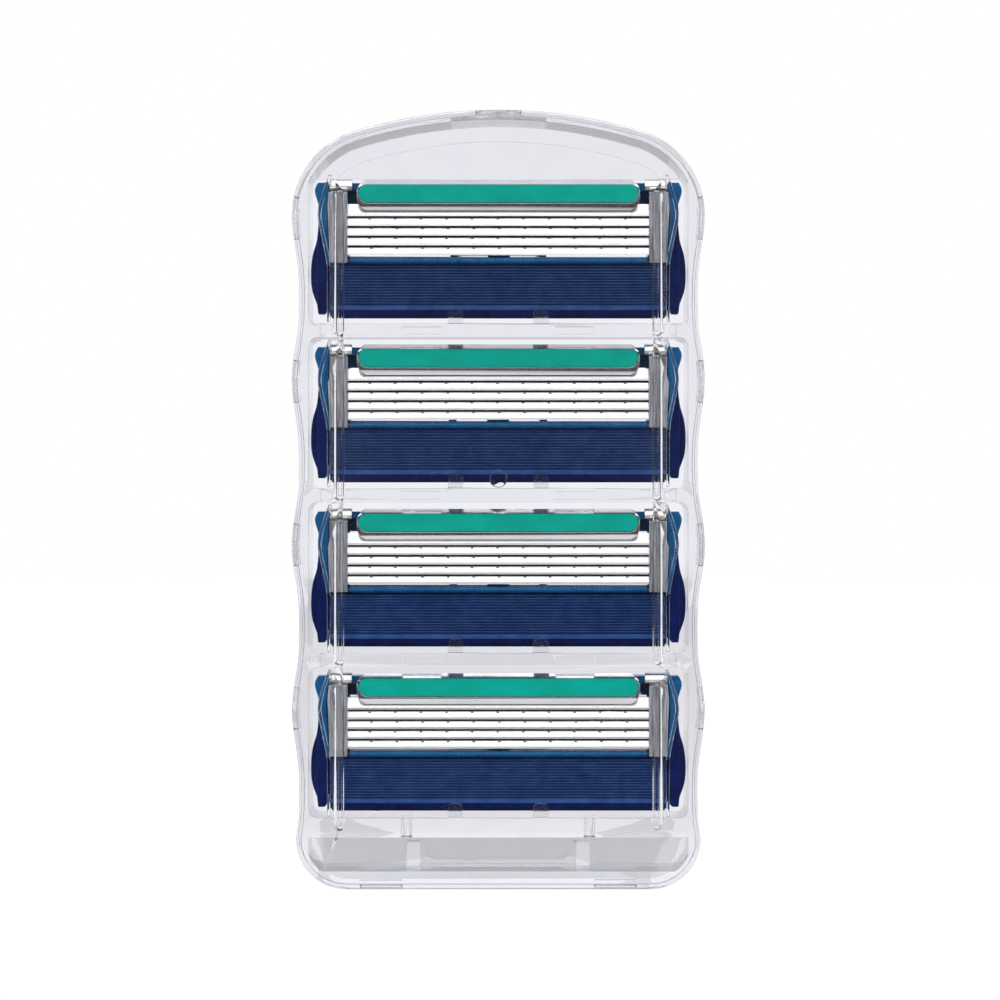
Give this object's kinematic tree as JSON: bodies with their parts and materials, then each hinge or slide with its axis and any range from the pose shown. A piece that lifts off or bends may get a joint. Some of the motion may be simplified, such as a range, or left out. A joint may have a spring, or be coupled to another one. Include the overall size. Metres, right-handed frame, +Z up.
{
  "type": "cartridge razor refill case",
  "caption": "Clear arched snap case holding a vertical column of multi-blade razor cartridges with rubber guards, lubricating strips, metal end clips and pivoting handle sockets.",
  "frame": {"origin": "middle of the case's flat foot", "axes": "+Z up from the foot to the arched crown, +X to the right seen from the clear front, +Y out of the open back"},
  "size_m": [0.0444, 0.015, 0.0836],
  "materials": {
    "clear_cover": "clear polished plastic",
    "clear_tray": "clear plastic, snap tabs lightly textured",
    "frame_blue": "satin moulded plastic, slightly translucent",
    "guard_rubber": "fine finned soft rubber",
    "cap_bright": "bright metallised plastic",
    "strip_green": "dry waxy strip",
    "clip_aluminium": "brushed along its length",
    "trimmer_plastic": "satin moulded plastic",
    "blade_steel": "ground and coated razor steel",
    "connector_plastic": "satin moulded plastic"
  },
  "bodies": {
    "case": {"front_cover": "clear_cover", "rear_tray": "clear_tray"},
    "cartridge_1": {"cartridge_1_frame": "frame_blue", "cartridge_1_guard": "guard_rubber", "cartridge_1_cap": "cap_bright", "cartridge_1_strip": "strip_green", "cartridge_1_clip_left": "clip_aluminium", "cartridge_1_clip_right": "clip_aluminium", "cartridge_1_trimmer_carrier": "trimmer_plastic", "cartridge_1_trimmer_blade": "blade_steel"},
    "connector_1": {"cartridge_1_connector": "connector_plastic"},
    "cartridge_1_blade_1": {"cartridge_1_blade_1": "blade_steel"},
    "cartridge_1_blade_2": {"cartridge_1_blade_2": "blade_steel"},
    "cartridge_1_blade_3": {"cartridge_1_blade_3": "blade_steel"},
    "cartridge_1_blade_4": {"cartridge_1_blade_4": "blade_steel"},
    "cartridge_1_blade_5": {"cartridge_1_blade_5": "blade_steel"},
    "cartridge_2": {"cartridge_2_frame": "frame_blue", "cartridge_2_guard": "guard_rubber", "cartridge_2_cap": "cap_bright", "cartridge_2_strip": "strip_green", "cartridge_2_clip_left": "clip_aluminium", "cartridge_2_clip_right": "clip_aluminium", "cartridge_2_trimmer_carrier": "trimmer_plastic", "cartridge_2_trimmer_blade": "blade_steel"},
    "connector_2": {"cartridge_2_connector": "connector_plastic"},
    "cartridge_2_blade_1": {"cartridge_2_blade_1": "blade_steel"},
    "cartridge_2_blade_2": {"cartridge_2_blade_2": "blade_steel"},
    "cartridge_2_blade_3": {"cartridge_2_blade_3": "blade_steel"},
    "cartridge_2_blade_4": {"cartridge_2_blade_4": "blade_steel"},
    "cartridge_2_blade_5": {"cartridge_2_blade_5": "blade_steel"},
    "cartridge_3": {"cartridge_3_frame": "frame_blue", "cartridge_3_guard": "guard_rubber", "cartridge_3_cap": "cap_bright", "cartridge_3_strip": "strip_green", "cartridge_3_clip_left": "clip_aluminium", "cartridge_3_clip_right": "clip_aluminium", "cartridge_3_trimmer_carrier": "trimmer_plastic", "cartridge_3_trimmer_blade": "blade_steel"},
    "connector_3": {"cartridge_3_connector": "connector_plastic"},
    "cartridge_3_blade_1": {"cartridge_3_blade_1": "blade_steel"},
    "cartridge_3_blade_2": {"cartridge_3_blade_2": "blade_steel"},
    "cartridge_3_blade_3": {"cartridge_3_blade_3": "blade_steel"},
    "cartridge_3_blade_4": {"cartridge_3_blade_4": "blade_steel"},
    "cartridge_3_blade_5": {"cartridge_3_blade_5": "blade_steel"},
    "cartridge_4": {"cartridge_4_frame": "frame_blue", "cartridge_4_guard": "guard_rubber", "cartridge_4_cap": "cap_bright", "cartridge_4_strip": "strip_green", "cartridge_4_clip_left": "clip_aluminium", "cartridge_4_clip_right": "clip_aluminium", "cartridge_4_trimmer_carrier": "trimmer_plastic", "cartridge_4_trimmer_blade": "blade_steel"},
    "connector_4": {"cartridge_4_connector": "connector_plastic"},
    "cartridge_4_blade_1": {"cartridge_4_blade_1": "blade_steel"},
    "cartridge_4_blade_2": {"cartridge_4_blade_2": "blade_steel"},
    "cartridge_4_blade_3": {"cartridge_4_blade_3": "blade_steel"},
    "cartridge_4_blade_4": {"cartridge_4_blade_4": "blade_steel"},
    "cartridge_4_blade_5": {"cartridge_4_blade_5": "blade_steel"}
  },
  "joints": [
    {"name": "cartridge_1_pull", "type": "slide", "parent": "case", "child": "cartridge_1", "axis": [0, 1, 0], "range_m": [0, 0.014]},
    {"name": "cartridge_2_pull", "type": "slide", "parent": "case", "child": "cartridge_2", "axis": [0, 1, 0], "range_m": [0, 0.014]},
    {"name": "cartridge_3_pull", "type": "slide", "parent": "case", "child": "cartridge_3", "axis": [0, 1, 0], "range_m": [0, 0.014]},
    {"name": "cartridge_4_pull", "type": "slide", "parent": "case", "child": "cartridge_4", "axis": [0, 1, 0], "range_m": [0, 0.014]},
    {"name": "connector_1_pivot", "type": "hinge", "parent": "cartridge_1", "child": "connector_1", "pos_m": [0, 0.0003, 0.0658], "axis": [1, 0, 0], "range_deg": [0, 40]},
    {"name": "connector_2_pivot", "type": "hinge", "parent": "cartridge_2", "child": "connector_2", "pos_m": [0, 0.0003, 0.0481], "axis": [1, 0, 0], "range_deg": [0, 40]},
    {"name": "connector_3_pivot", "type": "hinge", "parent": "cartridge_3", "child": "connector_3", "pos_m": [0, 0.0003, 0.0304], "axis": [1, 0, 0], "range_deg": [0, 40]},
    {"name": "connector_4_pivot", "type": "hinge", "parent": "cartridge_4", "child": "connector_4", "pos_m": [0, 0.0003, 0.0127], "axis": [1, 0, 0], "range_deg": [0, 40]},
    {"name": "spring_float_1_1", "type": "slide", "parent": "cartridge_1", "child": "cartridge_1_blade_1", "axis": [0, 1, 0], "range_m": [0, 0.0002], "stiffness_N_per_m": 20, "springref_m": -0.0005},
    {"name": "spring_float_1_2", "type": "slide", "parent": "cartridge_1", "child": "cartridge_1_blade_2", "axis": [0, 1, 0], "range_m": [0, 0.0002], "stiffness_N_per_m": 20, "springref_m": -0.0005},
    {"name": "spring_float_1_3", "type": "slide", "parent": "cartridge_1", "child": "cartridge_1_blade_3", "axis": [0, 1, 0], "range_m": [0, 0.0002], "stiffness_N_per_m": 20, "springref_m": -0.0005},
    {"name": "spring_float_1_4", "type": "slide", "parent": "cartridge_1", "child": "cartridge_1_blade_4", "axis": [0, 1, 0], "range_m": [0, 0.0002], "stiffness_N_per_m": 20, "springref_m": -0.0005},
    {"name": "spring_float_1_5", "type": "slide", "parent": "cartridge_1", "child": "cartridge_1_blade_5", "axis": [0, 1, 0], "range_m": [0, 0.0002], "stiffness_N_per_m": 20, "springref_m": -0.0005},
    {"name": "spring_float_2_1", "type": "slide", "parent": "cartridge_2", "child": "cartridge_2_blade_1", "axis": [0, 1, 0], "range_m": [0, 0.0002], "stiffness_N_per_m": 20, "springref_m": -0.0005},
    {"name": "spring_float_2_2", "type": "slide", "parent": "cartridge_2", "child": "cartridge_2_blade_2", "axis": [0, 1, 0], "range_m": [0, 0.0002], "stiffness_N_per_m": 20, "springref_m": -0.0005},
    {"name": "spring_float_2_3", "type": "slide", "parent": "cartridge_2", "child": "cartridge_2_blade_3", "axis": [0, 1, 0], "range_m": [0, 0.0002], "stiffness_N_per_m": 20, "springref_m": -0.0005},
    {"name": "spring_float_2_4", "type": "slide", "parent": "cartridge_2", "child": "cartridge_2_blade_4", "axis": [0, 1, 0], "range_m": [0, 0.0002], "stiffness_N_per_m": 20, "springref_m": -0.0005},
    {"name": "spring_float_2_5", "type": "slide", "parent": "cartridge_2", "child": "cartridge_2_blade_5", "axis": [0, 1, 0], "range_m": [0, 0.0002], "stiffness_N_per_m": 20, "springref_m": -0.0005},
    {"name": "spring_float_3_1", "type": "slide", "parent": "cartridge_3", "child": "cartridge_3_blade_1", "axis": [0, 1, 0], "range_m": [0, 0.0002], "stiffness_N_per_m": 20, "springref_m": -0.0005},
    {"name": "spring_float_3_2", "type": "slide", "parent": "cartridge_3", "child": "cartridge_3_blade_2", "axis": [0, 1, 0], "range_m": [0, 0.0002], "stiffness_N_per_m": 20, "springref_m": -0.0005},
    {"name": "spring_float_3_3", "type": "slide", "parent": "cartridge_3", "child": "cartridge_3_blade_3", "axis": [0, 1, 0], "range_m": [0, 0.0002], "stiffness_N_per_m": 20, "springref_m": -0.0005},
    {"name": "spring_float_3_4", "type": "slide", "parent": "cartridge_3", "child": "cartridge_3_blade_4", "axis": [0, 1, 0], "range_m": [0, 0.0002], "stiffness_N_per_m": 20, "springref_m": -0.0005},
    {"name": "spring_float_3_5", "type": "slide", "parent": "cartridge_3", "child": "cartridge_3_blade_5", "axis": [0, 1, 0], "range_m": [0, 0.0002], "stiffness_N_per_m": 20, "springref_m": -0.0005},
    {"name": "spring_float_4_1", "type": "slide", "parent": "cartridge_4", "child": "cartridge_4_blade_1", "axis": [0, 1, 0], "range_m": [0, 0.0002], "stiffness_N_per_m": 20, "springref_m": -0.0005},
    {"name": "spring_float_4_2", "type": "slide", "parent": "cartridge_4", "child": "cartridge_4_blade_2", "axis": [0, 1, 0], "range_m": [0, 0.0002], "stiffness_N_per_m": 20, "springref_m": -0.0005},
    {"name": "spring_float_4_3", "type": "slide", "parent": "cartridge_4", "child": "cartridge_4_blade_3", "axis": [0, 1, 0], "range_m": [0, 0.0002], "stiffness_N_per_m": 20, "springref_m": -0.0005},
    {"name": "spring_float_4_4", "type": "slide", "parent": "cartridge_4", "child": "cartridge_4_blade_4", "axis": [0, 1, 0], "range_m": [0, 0.0002], "stiffness_N_per_m": 20, "springref_m": -0.0005},
    {"name": "spring_float_4_5", "type": "slide", "parent": "cartridge_4", "child": "cartridge_4_blade_5", "axis": [0, 1, 0], "range_m": [0, 0.0002], "stiffness_N_per_m": 20, "springref_m": -0.0005}
  ]
}
